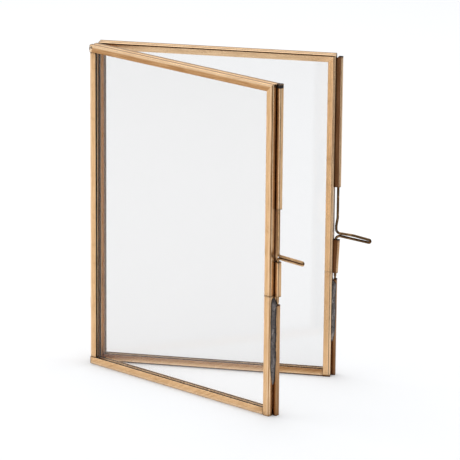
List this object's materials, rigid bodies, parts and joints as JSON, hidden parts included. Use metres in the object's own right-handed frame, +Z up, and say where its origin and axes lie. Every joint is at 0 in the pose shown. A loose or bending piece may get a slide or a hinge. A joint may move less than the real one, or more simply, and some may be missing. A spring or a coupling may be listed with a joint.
{
  "type": "double photo frame",
  "caption": "Hinged double photo frame of glass panes in folded brass channel, standing as a V, with a sliding wire bolt on each leaf.",
  "frame": {"origin": "on the surface that the frame stands on, below the middle of its box", "axes": "+Z up along the leaves' height, +X from the spine along the far leaf, -Y towards the near leaf's free edge"},
  "size_m": [0.1568, 0.0848, 0.184],
  "materials": {
    "antique_brass": "brushed, antique",
    "brass_wire": "dark antique",
    "clear_glass": "polished",
    "grey_solder": "rough, darkened"
  },
  "bodies": {
    "far_front_panel": {"far_corner_solder": "grey_solder", "far_cover_hinge_front_knuckles": "antique_brass", "far_front_bottom_channel": "antique_brass", "far_front_free_lower_channel": "antique_brass", "far_front_free_upper_channel": "antique_brass", "far_front_pane": "clear_glass", "far_front_spine_channel": "antique_brass", "far_front_top_channel": "antique_brass", "far_keeper": "antique_brass", "far_keeper_solder": "grey_solder", "spine_hinge_far_knuckles": "antique_brass", "spine_hinge_pins": "brass_wire"},
    "far_rear_panel": {"far_cover_hinge_pins": "brass_wire", "far_cover_hinge_rear_knuckles": "antique_brass", "far_rear_bottom_channel": "antique_brass", "far_rear_lower_strip": "antique_brass", "far_rear_pane": "clear_glass", "far_rear_spine_channel": "antique_brass", "far_rear_top_channel": "antique_brass", "far_rear_window_strip": "antique_brass", "far_short_bolt_guide": "antique_brass", "far_upper_bolt_guide": "antique_brass"},
    "near_rear_panel": {"near_cover_hinge_pins": "brass_wire", "near_cover_hinge_rear_knuckles": "antique_brass", "near_rear_bottom_channel": "antique_brass", "near_rear_lower_strip": "antique_brass", "near_rear_pane": "clear_glass", "near_rear_spine_channel": "antique_brass", "near_rear_top_channel": "antique_brass", "near_rear_window_strip": "antique_brass", "near_short_bolt_guide": "antique_brass", "near_upper_bolt_guide": "antique_brass", "spine_hinge_near_knuckles": "antique_brass"},
    "near_front_panel": {"near_corner_solder": "grey_solder", "near_cover_hinge_front_knuckles": "antique_brass", "near_front_bottom_channel": "antique_brass", "near_front_free_lower_channel": "antique_brass", "near_front_free_upper_channel": "antique_brass", "near_front_pane": "clear_glass", "near_front_spine_channel": "antique_brass", "near_front_top_channel": "antique_brass", "near_keeper": "antique_brass", "near_keeper_solder": "grey_solder"},
    "near_bolt": {"near_slide_bolt": "brass_wire"},
    "far_bolt": {"far_slide_bolt": "brass_wire"}
  },
  "joints": [
    {"name": "spine_hinge", "type": "hinge", "parent": "far_front_panel", "child": "near_rear_panel", "pos_m": [-0.07579, 0.03578, 0], "axis": [0, 0, 1], "range_deg": [-80, 30]},
    {"name": "near_cover_hinge", "type": "hinge", "parent": "near_rear_panel", "child": "near_front_panel", "pos_m": [-0.07751, 0.03279, 0], "axis": [0, 0, -1], "range_deg": [0, 90]},
    {"name": "far_cover_hinge", "type": "hinge", "parent": "far_front_panel", "child": "far_rear_panel", "pos_m": [-0.07579, 0.03923, 0], "axis": [0, 0, 1], "range_deg": [0, 90]},
    {"name": "near_bolt_slide", "type": "slide", "parent": "near_rear_panel", "child": "near_bolt", "axis": [0, 0, 1], "range_m": [-0.0007, 0.024]},
    {"name": "far_bolt_slide", "type": "slide", "parent": "far_rear_panel", "child": "far_bolt", "axis": [0, 0, 1], "range_m": [-0.0007, 0.024]}
  ]
}
